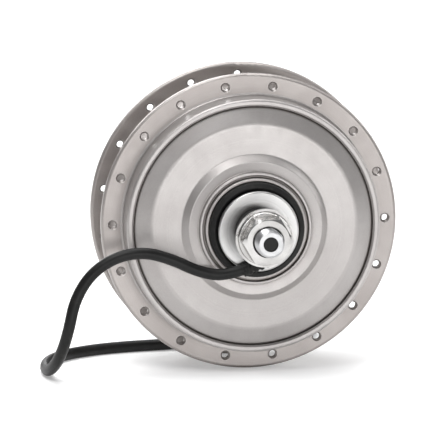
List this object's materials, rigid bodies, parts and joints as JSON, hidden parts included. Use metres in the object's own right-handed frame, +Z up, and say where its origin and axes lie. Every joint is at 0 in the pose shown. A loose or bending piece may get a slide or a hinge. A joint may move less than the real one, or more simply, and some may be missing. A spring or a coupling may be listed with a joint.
{
  "type": "bicycle hub gear motor",
  "caption": "Geared front wheel hub: spoked shell with a planetary drive and outrunner motor inside, on a fixed axle with nuts and an electric cable.",
  "frame": {"origin": "on the axle, midway between the two dropout faces", "axes": "+Y along the axle towards the brake side, the bicycle's left; +X towards the front; +Z up"},
  "size_m": [0.1546, 0.186, 0.128],
  "materials": {
    "cast_shell": "warm light grey satin coated cast aluminium",
    "turned_aluminium": "bright turned aluminium",
    "axle_steel": "machined and zinc plated steel",
    "bearing_steel": "ground and polished bearing steel",
    "nut_plate": "nickel plated steel",
    "screw_steel": "stainless steel",
    "gear_steel": "hardened gear steel with a film of grease",
    "gear_nylon": "natural nylon with grease",
    "bush_bronze": "sintered bronze",
    "rubber": "black nitrile rubber",
    "cable_jacket": "black flexible cable jacket",
    "plug_plastic": "black moulded plastic",
    "contact": "gold plated contacts",
    "lamination": "stack of electrical steel sheets",
    "winding": "enamelled copper wire",
    "yoke_steel": "turned mild steel, zinc plated",
    "magnet": "nickel plated magnets",
    "board": "green circuit board",
    "wire_insulation": "coloured silicone insulation"
  },
  "bodies": {
    "axle_unit": {"axle": "axle_steel", "axle_end_plug": "rubber", "axle_keys": "axle_steel", "axle_nuts": "nut_plate", "bearing_balls": "bearing_steel", "cable_coil": "cable_jacket", "cable_outlet": "rubber", "cable_tail": "cable_jacket", "cable_tie": "plug_plastic", "clutch_race": "axle_steel", "clutch_rollers": "bearing_steel", "clutch_springs": "screw_steel", "hall_board": "board", "hall_sensors": "board", "left_bearing_inner_ring": "bearing_steel", "left_dust_cap": "turned_aluminium", "left_spacer": "axle_steel", "motor_cable": "cable_jacket", "phase_wires": "wire_insulation", "planet_carrier": "turned_aluminium", "planet_clips": "screw_steel", "planet_pins": "axle_steel", "plug_body": "plug_plastic", "plug_boot": "plug_plastic", "plug_pins": "contact", "plug_ring": "plug_plastic", "right_bearing_inner_ring": "bearing_steel", "right_dust_cap": "turned_aluminium", "right_spacer": "axle_steel", "rotor_bearing_inner_ring": "bearing_steel", "stator_core": "lamination", "stator_hub": "turned_aluminium", "stator_windings": "winding", "tab_washers": "nut_plate", "washers": "nut_plate"},
    "hub": {"hub_shell": "cast_shell", "right_cover": "cast_shell", "left_cover": "cast_shell", "cover_screws": "screw_steel", "cover_gasket": "rubber", "brake_spline": "axle_steel", "right_bearing_outer_ring": "bearing_steel", "left_bearing_outer_ring": "bearing_steel", "main_bearing_shields": "rubber", "ring_gear": "gear_steel", "ring_gear_screws": "screw_steel", "right_seal": "rubber", "left_seal": "rubber"},
    "rotor": {"rotor_plate": "turned_aluminium", "rotor_yoke": "yoke_steel", "rotor_magnets": "magnet", "sun_gear": "gear_steel", "rotor_bearing_outer_ring": "bearing_steel", "rotor_bearing_shields": "rubber"},
    "planet_1": {"planet_gear_1": "gear_nylon", "planet_bush_1": "bush_bronze"},
    "planet_2": {"planet_gear_2": "gear_nylon", "planet_bush_2": "bush_bronze"},
    "planet_3": {"planet_gear_3": "gear_nylon", "planet_bush_3": "bush_bronze"}
  },
  "joints": [
    {"name": "hub_spin", "type": "hinge", "parent": "axle_unit", "child": "hub", "pos_m": [0, 0, 0], "axis": [0, 1, 0], "continuous": true},
    {"name": "rotor_spin", "type": "hinge", "parent": "axle_unit", "child": "rotor", "pos_m": [0, 0, 0], "axis": [0, 1, 0], "continuous": true},
    {"name": "planet_1_spin", "type": "hinge", "parent": "axle_unit", "child": "planet_1", "pos_m": [0, -0.0118, 0.027], "axis": [0, 1, 0], "continuous": true},
    {"name": "planet_2_spin", "type": "hinge", "parent": "axle_unit", "child": "planet_2", "pos_m": [-0.02338, -0.0118, -0.0135], "axis": [0, 1, 0], "continuous": true},
    {"name": "planet_3_spin", "type": "hinge", "parent": "axle_unit", "child": "planet_3", "pos_m": [0.02338, -0.0118, -0.0135], "axis": [0, 1, 0], "continuous": true}
  ],
  "couplings": [
    {"joint": "rotor_spin", "follows": "hub_spin", "ratio": -4},
    {"joint": "planet_1_spin", "follows": "hub_spin", "ratio": 2.6667},
    {"joint": "planet_2_spin", "follows": "hub_spin", "ratio": 2.6667},
    {"joint": "planet_3_spin", "follows": "hub_spin", "ratio": 2.6667}
  ]
}
